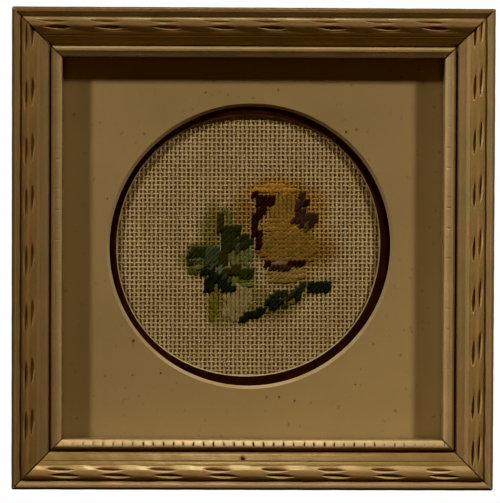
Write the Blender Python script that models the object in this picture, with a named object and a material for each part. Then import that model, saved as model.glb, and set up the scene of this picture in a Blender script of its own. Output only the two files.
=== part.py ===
"""Framed needlepoint: a carved square frame, two round window mats, a flat canvas and a mount board.

Metres, +Z up. The back of the frame lies in the plane y = 0, against the wall, and the picture faces -Y.
The origin is on the back face of the top rail, half way along it, where the frame is hung.
"""

import math
from collections import namedtuple

import bmesh
import bpy
from mathutils import Matrix, Vector

# Sizes of the frame
FRAME_SIDE = 0.2032
RAIL_WIDTH = 0.0208
LIP_WIDTH = 0.0060
LIP_HEIGHT = 0.0093
BACK_INSET = 0.0008
CLEARANCE = 0.0003

# Section of the moulding: distance in from the outer edge, and height above the wall
SIDE_TOP = 0.0213
OUTER_BEAD_CENTRE = (0.00145, 0.0229)
OUTER_BEAD_RADII = (0.00145, 0.0015)
OUTER_GROOVE = ((0.0036, 0.0230), (0.0038, 0.0221), (0.0043, 0.0221))
ROPE_CENTRE = (0.0067, 0.0217)
ROPE_RADII = (0.0033, 0.0033)
ROPE_FOOT = (0.0103, 0.0231)
ROPE_ARC_STRIPS = 9
ROPE_FOOT_STRIPS = 3
LEDGE = ((0.0106, 0.0230), (0.0113, 0.0226), (0.0121, 0.0218))
COVE = ((0.0123, 0.0215), (0.0153, 0.0193))
INNER_GROOVE = ((0.0156, 0.0183), (0.0160, 0.0183), (0.0163, 0.0188))
INNER_BEAD_CENTRE = (0.01785, 0.01945)
INNER_BEAD_RADII = (0.00105, 0.00105)
SIGHT_SLOPE = ((0.0203, 0.0189), (0.0207, 0.0182))
SIGHT_TOP = 0.0174

# The carving on the rope bead: each pair is two lens-shaped gouges side by side
Gouge = namedtuple("Gouge", "begins length inward_first inward_last half_width depth")
GOUGES = (
    Gouge(0.0000, 0.0114, 0.00885, 0.00820, 0.0011, 0.0007),
    Gouge(0.0016, 0.0124, 0.00645, 0.00585, 0.0012, 0.0009),
)
ROPE_STATIONS = 160

# The rails: how far each is turned about the frame's middle, and where its pairs of gouges start,
# counted from half way along the rail. The moulding was carved by eye, so the pairs are uneven.
Rail = namedtuple("Rail", "name turn pair_starts")
RAILS = (
    Rail("frame_bottom", 0, (-0.0868, -0.0656, -0.0433, -0.0203, 0.0038, 0.0275, 0.0498, 0.0730)),
    Rail("frame_right", 90, (-0.0916, -0.0718, -0.0486, -0.0263, -0.0047, 0.0179, 0.0406, 0.0629, 0.0849)),
    Rail("frame_top", 180, (-0.0822, -0.0611, -0.0380, -0.0131, 0.0075, 0.0307, 0.0551, 0.0766)),
    Rail("frame_left", 270, (-0.0945, -0.0705, -0.0470, -0.0253, -0.0011, 0.0229, 0.0474, 0.0688)),
)

# The flat pieces in the rabbet, from the front
MAT_SIDE = FRAME_SIDE - 2 * (RAIL_WIDTH - LIP_WIDTH) - 2 * CLEARANCE
OUTER_MAT_THICKNESS = 0.0019
OUTER_MAT_BACK_RADIUS = 0.0598
OUTER_MAT_BEVEL = 0.0012
OUTER_MAT_OFFSET = (-0.0012, 0.0009)
INNER_MAT_THICKNESS = 0.0015
INNER_MAT_BACK_RADIUS = 0.0564
INNER_MAT_BEVEL = 0.0004
INNER_MAT_OFFSET = (-0.0019, 0.0012)
WINDOW_SEGMENTS = 72
CANVAS_SIDE = 0.1550
CANVAS_THICKNESS = 0.0012
BOARD_THICKNESS = 0.0025

# Places worked out from the sizes above
HALF = FRAME_SIDE / 2
HANGING_POINT = (BACK_INSET + RAIL_WIDTH - LIP_WIDTH) / 2
MIDDLE = Vector((0, 0, HANGING_POINT - HALF))
OUTER_MAT_FRONT = LIP_HEIGHT - CLEARANCE
INNER_MAT_FRONT = OUTER_MAT_FRONT - OUTER_MAT_THICKNESS - CLEARANCE
CANVAS_FRONT = INNER_MAT_FRONT - INNER_MAT_THICKNESS - CLEARANCE
BOARD_FRONT = CANVAS_FRONT - CANVAS_THICKNESS - CLEARANCE

# Colours as linear red, green and blue
GILT_WOOD = (0.26, 0.17, 0.075)
TAN_BOARD = (0.27, 0.17, 0.07)
DARK_BOARD = (0.012, 0.004, 0.005)
CANVAS_COLOUR = (0.33, 0.24, 0.13)
GREY_BOARD = (0.10, 0.07, 0.035)


def clear_scene():
    for thing in list(bpy.data.objects):
        bpy.data.objects.remove(thing)


def make_material(name, colour, roughness, metallic=0.0):
    material = bpy.data.materials.new(name)
    material.use_nodes = True
    shader = material.node_tree.nodes["Principled BSDF"]
    shader.inputs["Base Color"].default_value = (*colour, 1)
    shader.inputs["Roughness"].default_value = roughness
    shader.inputs["Metallic"].default_value = metallic
    return material


def add_object(name, bm, material, sharp_degrees=None):
    """Closes the mesh's normals outwards and puts it in the scene as one named object."""
    bmesh.ops.recalc_face_normals(bm, faces=bm.faces)
    mesh = bpy.data.meshes.new(name)
    bm.to_mesh(mesh)
    bm.free()
    mesh.materials.append(material)
    if sharp_degrees is not None:
        mesh.shade_smooth()
        mesh.set_sharp_from_angle(angle=math.radians(sharp_degrees))
    made = bpy.data.objects.new(name, mesh)
    bpy.context.scene.collection.objects.link(made)
    return made


def arc(centre, radii, start, end, steps):
    """Points along an ellipse's arc, with the angles in degrees."""
    points = []
    for step in range(steps + 1):
        angle = math.radians(start + (end - start) * step / steps)
        points.append((centre[0] + radii[0] * math.cos(angle), centre[1] + radii[1] * math.sin(angle)))
    return points


def straight_line(start, end, steps):
    """The points after start on the straight way to end."""
    shares = [(step + 1) / steps for step in range(steps)]
    return [(start[0] + (end[0] - start[0]) * t, start[1] + (end[1] - start[1]) * t) for t in shares]


def rail_section():
    """The moulding's outline once round, and the first and last index of its rope bead."""
    rabbet = RAIL_WIDTH - LIP_WIDTH
    outer = [(BACK_INSET, 0), (BACK_INSET, SIDE_TOP)]
    outer += arc(OUTER_BEAD_CENTRE, OUTER_BEAD_RADII, 205, 53, 7)
    outer += OUTER_GROOVE
    rope = arc(ROPE_CENTRE, ROPE_RADII, 132, 50, ROPE_ARC_STRIPS)
    rope += straight_line(rope[-1], ROPE_FOOT, ROPE_FOOT_STRIPS)
    inner = [*LEDGE, *COVE, *INNER_GROOVE]
    inner += arc(INNER_BEAD_CENTRE, INNER_BEAD_RADII, 145, 52, 5)
    inner += [*SIGHT_SLOPE, (RAIL_WIDTH, SIGHT_TOP)]
    inner += [(RAIL_WIDTH, LIP_HEIGHT), (rabbet, LIP_HEIGHT), (rabbet, 0)]
    first = len(outer)
    return outer + rope + inner, first, first + len(rope) - 1


def gouge_depth(gouge, along, inward):
    """How deep one gouge is at a point of the rope bead, with along counted from its pair's start."""
    part = (along - gouge.begins) / gouge.length
    if not 0 < part < 1:
        return 0.0
    swell = math.sqrt(math.sin(math.pi * part))
    middle = gouge.inward_first + (gouge.inward_last - gouge.inward_first) * part
    across = (inward - middle) / (gouge.half_width * swell)
    return gouge.depth * swell * max(0.0, 1 - across * across)


def carving_depth(along, inward, pair_starts):
    """The deepest cut of any gouge at a point, with along counted from half way along the rail."""
    return max(gouge_depth(gouge, along - start, inward) for start in pair_starts for gouge in GOUGES)


def rail_point(share, inward, height, pair_starts=()):
    """A point of the bottom rail: share runs from -1 to 1 between its two mitres."""
    x = share * (HALF - inward - CLEARANCE / math.sqrt(2))
    if pair_starts:
        height -= carving_depth(x, inward, pair_starts)
    return Vector((x, -height, inward - HALF))


def add_rail(rail, material):
    section, rope_first, rope_last = rail_section()
    bm = bmesh.new()
    rows = []
    for index, (inward, height) in enumerate(section):
        stations = ROPE_STATIONS if rope_first <= index <= rope_last else 1
        starts = rail.pair_starts if rope_first < index < rope_last else ()
        row = []
        for station in range(stations + 1):
            share = 2 * station / stations - 1
            row.append(bm.verts.new(rail_point(share, inward, height, starts)))
        rows.append(row)
    for near, far in zip(rows, rows[1:] + rows[:1]):
        if len(near) == len(far):
            for station in range(len(near) - 1):
                bm.faces.new((near[station], near[station + 1], far[station + 1], far[station]))
        else:
            bm.faces.new(near + far[::-1])
    bm.faces.new([row[0] for row in rows])
    bm.faces.new([row[-1] for row in rows])
    turn = Matrix.Rotation(math.radians(-rail.turn), 4, "Y")
    bmesh.ops.transform(bm, matrix=Matrix.Translation(MIDDLE) @ turn, verts=bm.verts)
    bmesh.ops.triangulate(bm, faces=bm.faces)
    return add_object(rail.name, bm, material, sharp_degrees=35)


def ring_of_points(radius, offset, height):
    """A window's edge as points round its own centre."""
    points = []
    for step in range(WINDOW_SEGMENTS):
        angle = 2 * math.pi * step / WINDOW_SEGMENTS
        x = offset[0] + radius * math.cos(angle)
        z = offset[1] + radius * math.sin(angle)
        points.append(MIDDLE + Vector((x, -height, z)))
    return points


def square_of_points(side, height):
    """The corners of a square sheet, with as many points on each side as the window's quarter has."""
    points = []
    for step in range(WINDOW_SEGMENTS):
        angle = 2 * math.pi * step / WINDOW_SEGMENTS
        reach = side / 2 / max(abs(math.cos(angle)), abs(math.sin(angle)))
        points.append(MIDDLE + Vector((reach * math.cos(angle), -height, reach * math.sin(angle))))
    return points


def add_window_mat(name, front, thickness, back_radius, bevel, offset, material):
    """A square board with a round window, whose edge is cut back at the front by bevel."""
    bm = bmesh.new()
    back = front - thickness
    loops = [
        square_of_points(MAT_SIDE, back),
        square_of_points(MAT_SIDE, front),
        ring_of_points(back_radius + bevel, offset, front),
        ring_of_points(back_radius, offset, back),
    ]
    rows = [[bm.verts.new(point) for point in loop] for loop in loops]
    for near, far in zip(rows, rows[1:] + rows[:1]):
        for step in range(WINDOW_SEGMENTS):
            after = (step + 1) % WINDOW_SEGMENTS
            bm.faces.new((near[step], near[after], far[after], far[step]))
    bmesh.ops.dissolve_limit(bm, angle_limit=math.radians(0.2), verts=bm.verts, edges=bm.edges)
    bmesh.ops.triangulate(bm, faces=bm.faces)
    return add_object(name, bm, material, sharp_degrees=30)


def add_sheet(name, side, front, thickness, material):
    """A flat square sheet with its front face at the given height."""
    bm = bmesh.new()
    bmesh.ops.create_cube(bm, size=1)
    size = Matrix.Diagonal((side, thickness, side, 1))
    place = Matrix.Translation(MIDDLE + Vector((0, thickness / 2 - front, 0)))
    bmesh.ops.transform(bm, matrix=place @ size, verts=bm.verts)
    return add_object(name, bm, material)


def main():
    clear_scene()
    gilt = make_material("gilt_wood", GILT_WOOD, 0.45, 0.2)
    tan = make_material("tan_board", TAN_BOARD, 0.85)
    dark = make_material("dark_board", DARK_BOARD, 0.8)
    cloth = make_material("canvas_cloth", CANVAS_COLOUR, 0.9)
    grey = make_material("mount_board", GREY_BOARD, 0.9)
    for rail in RAILS:
        add_rail(rail, gilt)
    add_window_mat(
        "mat_outer", OUTER_MAT_FRONT, OUTER_MAT_THICKNESS, OUTER_MAT_BACK_RADIUS, OUTER_MAT_BEVEL,
        OUTER_MAT_OFFSET, tan,
    )
    add_window_mat(
        "mat_inner", INNER_MAT_FRONT, INNER_MAT_THICKNESS, INNER_MAT_BACK_RADIUS, INNER_MAT_BEVEL,
        INNER_MAT_OFFSET, dark,
    )
    add_sheet("canvas", CANVAS_SIDE, CANVAS_FRONT, CANVAS_THICKNESS, cloth)
    add_sheet("mount_board", MAT_SIDE, BOARD_FRONT, BOARD_THICKNESS, grey)


main()
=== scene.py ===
# %% [markdown]
# # A small needlepoint in its carved frame
#
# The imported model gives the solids: four mitred rails, two window mats, a flat canvas and the board
# behind it. This lesson dresses each of them at the place that the model gives, and in metres.
# The picture faces -Y, +X is to the viewer's right and +Z is up.

import math
from collections import namedtuple

import bmesh
import bpy
import numpy as np
from mathutils import Matrix, Vector


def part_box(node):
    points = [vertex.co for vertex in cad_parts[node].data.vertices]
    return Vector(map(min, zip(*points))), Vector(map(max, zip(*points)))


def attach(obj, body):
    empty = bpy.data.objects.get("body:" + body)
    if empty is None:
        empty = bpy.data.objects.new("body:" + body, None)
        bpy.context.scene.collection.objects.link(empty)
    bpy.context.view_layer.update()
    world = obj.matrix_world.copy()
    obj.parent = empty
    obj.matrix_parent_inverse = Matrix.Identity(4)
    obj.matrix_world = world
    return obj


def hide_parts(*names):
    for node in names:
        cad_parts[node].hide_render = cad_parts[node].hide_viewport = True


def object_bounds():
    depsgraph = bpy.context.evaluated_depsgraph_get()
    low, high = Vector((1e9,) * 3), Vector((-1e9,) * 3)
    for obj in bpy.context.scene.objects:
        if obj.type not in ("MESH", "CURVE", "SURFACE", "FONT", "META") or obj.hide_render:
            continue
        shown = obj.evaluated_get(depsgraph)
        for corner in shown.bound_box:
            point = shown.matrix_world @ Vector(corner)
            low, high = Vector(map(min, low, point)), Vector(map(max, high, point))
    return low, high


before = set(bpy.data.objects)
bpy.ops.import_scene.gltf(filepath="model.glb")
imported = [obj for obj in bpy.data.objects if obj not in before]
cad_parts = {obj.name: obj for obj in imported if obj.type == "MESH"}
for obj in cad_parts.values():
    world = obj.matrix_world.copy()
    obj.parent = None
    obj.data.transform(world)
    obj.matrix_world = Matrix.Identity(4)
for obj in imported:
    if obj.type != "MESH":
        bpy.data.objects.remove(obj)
cad_low, cad_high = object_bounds()
MM = 0.001
print("nodes:", ", ".join(sorted(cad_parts)))

# %% [markdown]
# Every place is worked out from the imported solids, so the dressed pieces sit where the solids do.
# A height is a distance out from the wall, towards the viewer, which is along -Y.

# %% Measure the solids
canvas_low, canvas_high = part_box("canvas")
outer_low, outer_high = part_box("mat_outer")
inner_low, inner_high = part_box("mat_inner")

HALF = (cad_high.x - cad_low.x) / 2
MIDDLE = Vector((0, 0, (cad_low.z + cad_high.z) / 2))
OUTER_MAT_FRONT = -outer_low.y
OUTER_MAT_BACK = -outer_high.y
INNER_MAT_FRONT = -inner_low.y
INNER_MAT_BACK = -inner_high.y
CANVAS_SIDE = canvas_high.x - canvas_low.x
MAT_SIDE = outer_high.x - outer_low.x
print(f"frame {2 * HALF / MM:.1f} mm, mats {MAT_SIDE / MM:.1f} mm, canvas {CANVAS_SIDE / MM:.1f} mm")

# %% [markdown]
# The photograph was taken from about a metre away, almost straight on and a little above the middle,
# so the lens is long and the picture's far sides hardly taper. The camera is placed by its distance,
# its two angles and a slight roll, and looks at a point near the middle of the frame.

# %% Camera
LENS, SENSOR = 171, 36
CAMERA_DISTANCE = 1.0290
CAMERA_AZIMUTH = math.radians(-0.70)
CAMERA_RISE = math.radians(1.48)
CAMERA_ROLL = math.radians(-0.22)
CAMERA_AIM = Vector((-0.0011, 0, -0.0953))

camera = bpy.data.objects.new("camera", bpy.data.cameras.new("camera"))
bpy.context.scene.collection.objects.link(camera)
away = Vector((
    math.sin(CAMERA_AZIMUTH) * math.cos(CAMERA_RISE),
    -math.cos(CAMERA_AZIMUTH) * math.cos(CAMERA_RISE),
    math.sin(CAMERA_RISE),
))
facing = (-away).to_track_quat("-Z", "Y").to_matrix().to_4x4()
camera.matrix_world = Matrix.Translation(CAMERA_AIM + away * CAMERA_DISTANCE) @ facing \
    @ Matrix.Rotation(-CAMERA_ROLL, 4, "Z")
camera.data.lens = LENS
camera.data.sensor_width = SENSOR
bpy.context.scene.camera = camera
print("camera at", tuple(round(value, 3) for value in camera.matrix_world.translation))

# %% [markdown]
# Two small soft lamps hang to the upper left and upper right, level with each other. The frame's deep
# sides throw one half-dark band down each side of the mat and a darker band under the top rail, and
# the widths of those bands give the lamps' direction. A weak lamp near the ceiling puts short glints on
# the rope bead, a wide warm one in front fills the shadows, and a fifth reaches the back. One table
# lists them, each with the direction it hangs in, seen from the middle of the picture. The photograph
# is dim and contrasty, which a gamma below one gives without darker paints, and a raised black level
# sinks the deepest shadows.

# %% Lights and picture tone
Lamp = namedtuple("Lamp", "name towards size power colour")
LAMP_DISTANCE = 1.5
LAMP_WHITE = (1.0, 0.95, 0.86)
LAMPS = (
    Lamp("light_left", (-1.34, -1, 1.14), 0.14, 14.592, LAMP_WHITE),
    Lamp("light_right", (1.34, -1, 1.14), 0.14, 15.2, LAMP_WHITE),
    Lamp("light_ceiling", (0, -1, 3), 0.16, 2.4, LAMP_WHITE),
    Lamp("light_room", (0, -1, -0.2), 1.2, 3.9, (1.0, 0.66, 0.42)),
    Lamp("light_back", (0.5, 1, 0.8), 1.0, 11.0, (1, 1, 1)),
)
PICTURE_GAMMA = 0.667
BLACK_LEVEL = 0.02


def hang_lamp(lamp):
    """Hangs a round lamp that shines at the middle of the picture and can't be seen itself."""
    data = bpy.data.lights.new(lamp.name, "AREA")
    data.shape = "DISK"
    data.size = lamp.size
    data.energy = lamp.power
    data.color = lamp.colour
    light = bpy.data.objects.new(lamp.name, data)
    direction = Vector(lamp.towards).normalized()
    turned = (-direction).to_track_quat("-Z", "Y").to_matrix().to_4x4()
    light.matrix_world = Matrix.Translation(MIDDLE + direction * LAMP_DISTANCE) @ turned
    light.visible_camera = False
    bpy.context.scene.collection.objects.link(light)


for lamp in LAMPS:
    hang_lamp(lamp)
picture = bpy.context.scene.view_settings
picture.view_transform = "Standard"
picture.gamma = PICTURE_GAMMA
picture.use_curve_mapping = True
picture.curve_mapping.black_level = (BLACK_LEVEL, BLACK_LEVEL, BLACK_LEVEL)
picture.curve_mapping.update()
print("lights:", ", ".join(lamp.name for lamp in LAMPS))

# %% [markdown]
# Blender builds materials and Geometry Nodes from the same kind of boxes and wires. They could be wired
# by hand in the editor, but a recipe in code shows every value and can be run again. One helper adds a
# box and fills its sockets with values or wires, and the short ones after it name the boxes that come
# back most often, so that a material further on reads like a sentence.

# %% Helpers for node trees


def fill(tree, socket, value):
    """Wires a socket to another one, or sets its own value."""
    if isinstance(value, bpy.types.NodeSocket):
        tree.links.new(value, socket)
    else:
        socket.default_value = value


def add_node(tree, kind, inputs=None, **settings):
    """Adds one node, with its settings first, because they decide which sockets it has."""
    made = tree.nodes.new(kind)
    for name, value in settings.items():
        setattr(made, name, value)
    for key, value in (inputs or {}).items():
        fill(tree, made.inputs[key], value)
    return made


def maths(tree, operation, first, second=0.0, third=0.0, clamp=False):
    kind = "ShaderNodeMath"
    made = add_node(tree, kind, {0: first, 1: second, 2: third}, operation=operation, use_clamp=clamp)
    return made.outputs[0]


def vector_maths(tree, operation, first, second=(0, 0, 0)):
    made = add_node(tree, "ShaderNodeVectorMath", {0: first, 1: second}, operation=operation)
    return made.outputs[1 if operation in ("LENGTH", "DISTANCE", "DOT_PRODUCT") else 0]


def combine(tree, x=0.0, y=0.0, z=0.0):
    return add_node(tree, "ShaderNodeCombineXYZ", {0: x, 1: y, 2: z}).outputs[0]


def parts_of(tree, vector):
    return add_node(tree, "ShaderNodeSeparateXYZ", {0: vector}).outputs


def scaled(tree, vector, amount):
    """Multiplies a colour or a vector by one number."""
    inputs = {"Vector": vector, "Scale": amount}
    return add_node(tree, "ShaderNodeVectorMath", inputs, operation="SCALE").outputs[0]


def mix_colour(tree, factor, first, second):
    """Mixes two colours, each a wire or three numbers."""
    made = add_node(tree, "ShaderNodeMix", data_type="RGBA")
    fill(tree, made.inputs[0], factor)
    for socket, value in ((made.inputs[6], first), (made.inputs[7], second)):
        fill(tree, socket, value if isinstance(value, bpy.types.NodeSocket) else (*value, 1))
    return made.outputs[2]


def stretch(tree, value, low, high, to_low=0.0, to_high=1.0):
    """Stretches the range from low to high over the range to_low to to_high, and holds it there."""
    made = add_node(tree, "ShaderNodeMapRange", {0: value, 1: low, 2: high, 3: to_low, 4: to_high})
    return made.outputs[0]


def noise(tree, vector, scale, detail=2.0, roughness=0.5, output=0):
    """Cloudy noise from 0 to 1, with scale in ripples to the metre. Its output 1 is three noises at once."""
    inputs = {"Vector": vector, "Scale": scale, "Detail": detail, "Roughness": roughness}
    return add_node(tree, "ShaderNodeTexNoise", inputs).outputs[output]


def stored(tree, name, output="Fac"):
    """A number or a colour that the mesh keeps for each point."""
    return add_node(tree, "ShaderNodeAttribute", attribute_name=name).outputs[output]


def start_material(name, roughness=0.6, metallic=0.0, specular=0.5):
    """A new material, its tree, its shader and the Object coordinates that its patterns follow."""
    material = bpy.data.materials.new(name)
    material.use_nodes = True
    tree = material.node_tree
    shader = tree.nodes["Principled BSDF"]
    shader.inputs["Roughness"].default_value = roughness
    shader.inputs["Metallic"].default_value = metallic
    shader.inputs["Specular IOR Level"].default_value = specular
    place = add_node(tree, "ShaderNodeTexCoord").outputs["Object"]
    return material, tree, shader, place


def add_bump(tree, shader, height, distance, strength=1.0):
    inputs = {"Height": height, "Distance": distance, "Strength": strength}
    fill(tree, shader.inputs["Normal"], add_node(tree, "ShaderNodeBump", inputs).outputs[0])


print("helpers for node trees are ready")

# %% [markdown]
# The moulding is one long shape, so its section is written once, as distances in from the outer edge
# and heights above the wall. Each stretch of the section carries its finish: how brightly it is gilded,
# how much of the dark wash has settled there, and how pale hands and dusting have rubbed it. In the
# grooves and creases the lower tones and the wash are partly painted shade. Real gilders brush a thin
# dark wash over the gold and wipe it off the high parts, and that is what makes old frames look old.

# %% Section of the moulding
Stretch = namedtuple("Stretch", "name points tones wash pale")


def arc(centre, radii, start, end, steps):
    """Points on an ellipse in millimetres, from one angle in degrees to another."""
    angles = np.radians(np.linspace(start, end, steps + 1))
    return [(centre[0] + radii[0] * math.cos(a), centre[1] + radii[1] * math.sin(a)) for a in angles]


def line(start, end, steps):
    """Evenly spaced points in millimetres on a straight stretch."""
    return [tuple(point) for point in np.linspace(start, end, steps + 1)]


SECTION = (
    Stretch("outer side", [(1.1, 0.0), (0.8, 0.3), *line((0.8, 7.0), (0.8, 21.3), 2)], (0.24,), 0.3, 0),
    Stretch("outer bead", arc((1.45, 22.9), (1.45, 1.5), 205, 53, 12), (0.22, 0.24, 0.26, 0.36), 0, 0.3),
    Stretch("outer flat", [(2.75, 23.75), (3.2, 23.45), (3.55, 23.2), (3.8, 22.95)], (0.38, 0.36), 0, 0.3),
    Stretch("outer groove", [(3.95, 22.8)], (0.24,), 0.55, 0),
    Stretch("rope foot", [(4.12, 23.3), (4.25, 23.8)], (0.27,), 0.05, 0),
    Stretch("rope", arc((6.7, 21.7), (3.3, 3.3), 134, 50, 26), (0.31, 0.32, 0.28, 0.33, 0.38), 0, 0),
    Stretch("rope slope", line((9.0, 24.09), (10.2, 23.16), 6), (0.39, 0.40, 0.38), 0, 0),
    Stretch("rope crease", [(10.36, 22.98)], (0.33,), 0.06, 0),
    Stretch("ledge", line((10.5, 22.9), (11.8, 21.92), 3), (0.36, 0.37, 0.36), 0, 0),
    Stretch("ledge crease", [(11.98, 21.68)], (0.30,), 0.06, 0),
    Stretch("cove", line((12.12, 21.66), (14.7, 19.73), 8), (0.32, 0.33, 0.34, 0.34), 0, 0.1),
    Stretch("cove foot", [(15.1, 19.35), (15.4, 18.95)], (0.34, 0.32), 0.08, 0),
    Stretch("inner groove", [(15.68, 18.6), (15.92, 18.4), (16.08, 18.5)], (0.28, 0.24, 0.28), 0.4, 0),
    Stretch("bead wall", line((16.25, 18.75), (17.1, 20.0), 3), (0.32, 0.40), 0, 0.3),
    Stretch("inner bead", arc((17.85, 19.75), (0.78, 0.72), 155, 50, 8), (0.31, 0.26, 0.32), 0, 0.3),
    Stretch("bead slope", line((18.55, 20.15), (20.3, 18.85), 7), (0.35, 0.41, 0.46), 0, 0.6),
    Stretch("bead edge", [(20.55, 18.55), (20.72, 18.1), (20.8, 17.4)], (0.42, 0.34, 0.30), 0, 0.7),
    Stretch("sight edge", [(20.8, 14.0), (20.8, 9.5), (20.6, 9.3)], (0.3,), 0.15, 0),
    Stretch("rabbet", [(15.0, 9.3), (14.8, 9.1), (14.8, 0.3), (14.5, 0.0)], (0.3,), 0, 0),
)

section_points = np.array([point for part in SECTION for point in part.points]) * MM


def spread(values, count):
    """Spreads a few values evenly over a number of points."""
    return np.interp(np.linspace(0, 1, count), np.linspace(0, 1, len(values)), values)


# Lower tones and wash in the grooves and creases are partly painted shade.
section_tone = np.concatenate([spread(part.tones, len(part.points)) for part in SECTION])
section_wash = np.concatenate([np.full(len(part.points), float(part.wash)) for part in SECTION])
section_pale = np.concatenate([np.full(len(part.points), float(part.pale)) for part in SECTION])
section_names = [part.name for part in SECTION for point in part.points]
print(len(section_points), "points go round the moulding")

# %% [markdown]
# The rope bead is hand carved. Each pair of gouges is two lens-shaped scoops, steep on their inner side,
# with a dark line in the bottom that is partly wash and partly painted shade, and a painted highlight,
# partly rubbed gold, on the outer rim. Shallow dips slant over the bead between the pairs, like the lay
# of a twisted ribbon. A carver never spaces the pairs evenly, so each rail lists where its own start, in
# millimetres from its middle. The four rails have also aged in their own ways, and light falls on each
# in its own way. So each row also gives how dark the wash and painted shade lie in its cuts, how bright
# its rims are painted, and a shade and a share of brown for every member of the moulding, which paint in
# the light and shade that fall on that rail as well as its own tone. The cuts are worked out for a whole
# grid of points at once with NumPy, which is quick and leaves no stray edges, as cutting shapes out of a
# mesh can.

# %% Carving of the rope bead
Gouge = namedtuple("Gouge", "begins length inward_first inward_last half_width depth deepest widest wash")
GOUGES = (
    Gouge(-0.3, 12.8, 8.95, 8.40, 1.05, 1.00, 0.35, 0.40, 0.55),
    Gouge(1.0, 13.8, 6.25, 5.70, 1.20, 1.05, -0.10, 0.50, 0.62),
)
SCOOP_CURVE = 0.9
BOTTOM_LINE_WIDTH = 0.45
RIM_PLACE, RIM_WIDTH = -0.80, 0.42
Dip = namedtuple("Dip", "centre slant depth sharpness")
DIPS = (Dip(5.7, 1.0, 0.20, 1.3), Dip(0.9, 1.3, 0.07, 12))
DIP_INWARD = 7.27

Rail = namedtuple(
    "Rail", "name replaces turn seed stain rub notch_least notch_depth shades browns pair_starts")
Members = namedtuple("Members", "outer rope ledge cove groove wall bead")
# Each rail's shades and browns paint in the light and shade that fall on its side of the frame, over its own
# tone.
RAILS = (
    Rail("rail_bottom", "frame_bottom", 0, 11, 1.5, 1.0, 0.55, 0.36,
         Members(1.14, 1.13, 0.80, 0.84, 1.15, 0.75, 1.15), Members(0.25, 0.3, 0.9, 0.85, 0.5, 0.5, 0.5),
         (-86.8, -65.6, -43.3, -20.3, 3.8, 27.5, 49.8, 73.0)),
    Rail("rail_right", "frame_right", 90, 12, 1.5, 0.55, -0.6, 0.13,
         Members(1.27, 1.22, 1.56, 1.36, 0.80, 0.87, 1.53), Members(0.1, 0.4, 0.0, 0.2, 0.3, 0.7, 0.35),
         (-91.6, -71.8, -48.6, -26.3, -4.7, 17.9, 40.6, 62.9, 84.9)),
    Rail("rail_top", "frame_top", 180, 13, 1.0, 0.6, -0.5, 0.12,
         Members(0.90, 1.00, 1.12, 1.05, 0.80, 1.33, 1.20), Members(0.75, 0.25, 0.7, 0.9, 0.4, 0.05, 0.4),
         (-82.2, -61.1, -38.0, -13.1, 7.5, 30.7, 55.1, 76.6)),
    Rail("rail_left", "frame_left", 270, 14, 1.15, 0.1, -0.2, 0.12,
         Members(0.90, 0.90, 1.05, 1.08, 0.80, 0.87, 1.16), Members(0.65, 0.6, 0.3, 0.25, 0.3, 0.5, 0.6),
         (-96.0, -72.0, -48.5, -26.8, -2.6, 21.4, 45.9, 67.3)),
)


def gouge_cut(gouge, along, inward, boldness):
    """Depth in millimetres of one gouge, its dark bottom line of wash and painted shade, and its painted rim
    highlight, from its pair's start.
    """
    part = np.clip((along - gouge.begins) / gouge.length, 0, 1)
    swell = np.sin(np.pi * part ** (math.log(0.5) / math.log(gouge.widest))) ** SCOOP_CURVE
    middle = gouge.inward_first + (gouge.inward_last - gouge.inward_first) * part
    across = (inward - middle) / np.maximum(gouge.half_width * swell, 0.05)
    inner_wall = (1 - across) / (1 - gouge.deepest)
    outer_wall = (1 + across) / (1 + gouge.deepest)
    scoop = np.clip(np.minimum(inner_wall, outer_wall), 0, 1) ** SCOOP_CURVE
    present = np.clip(2 * swell, 0, 1)
    # The dark bottom line is partly wash and partly painted shade.
    bottom_line = np.exp(-(((across - gouge.deepest) / BOTTOM_LINE_WIDTH) ** 2)) * present
    # The rim is a painted highlight along the gouge's outer wall, partly rubbed gold.
    lit_rim = np.exp(-(((across - RIM_PLACE) / RIM_WIDTH) ** 2)) * present
    return boldness * gouge.depth * swell * scoop, gouge.wash * bottom_line, lit_rim


def dip_cut(dip, along, inward, starts):
    """Depth in millimetres of a slanting dip, which comes back once for each pair of gouges."""
    pitch = np.mean(np.diff(starts))
    knots = np.concatenate(([starts[0] - pitch], starts, [starts[-1] + pitch]))
    turns = np.arange(len(knots)) - 1.0
    reading = along - dip.centre + dip.slant * (inward - DIP_INWARD)
    lay = np.interp(reading, knots, turns)
    return dip.depth * ((1 + np.cos(2 * np.pi * lay)) / 2) ** dip.sharpness


def ripple(values, wave_length, seed):
    """A smooth uneven wave from about -1 to 1, the same each time for the same seed."""
    random = np.random.default_rng(seed)
    total = np.zeros_like(values)
    for octave in range(4):
        size = wave_length * (0.62 ** octave) * random.uniform(0.85, 1.15)
        total += np.sin(2 * np.pi * values / size + random.uniform(0, 6.3)) * 0.6 ** octave
    return total / 1.6


print(sum(len(rail.pair_starts) for rail in RAILS), "pairs of gouges on four rails")

# %% [markdown]
# The inner bead carries small cross cuts from a marking wheel, 4.3 mm apart. They are crisp along the
# middle of the bottom rail, worn towards the corners, and nearly filled with paint on the other three.
# So each rail gives the least strength that a cut may have and the depth of its cuts, and one short
# table says how much of a cut is left at each place along a rail. The bottom rail also has one dent in
# its cove.

# %% Cross cuts and the dent
NOTCH_PITCH = 4.26
NOTCH_FIRST = 0.6
NOTCH_INWARD = 19.0
NOTCH_REACH = 0.98
NOTCH_HALF_WIDTH = 0.50
NOTCH_STEEPNESS = 1.4
NOTCH_LEFT_AT = {-80: 0.5, -50: 0.6, -41: 1.0, 40: 1.0, 48: 0.65, 80: 0.5}
DENT_PLACE = (-4.1, 13.1)
DENT_RADII = (1.0, 0.7)
DENT_DEPTH = 0.8


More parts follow.
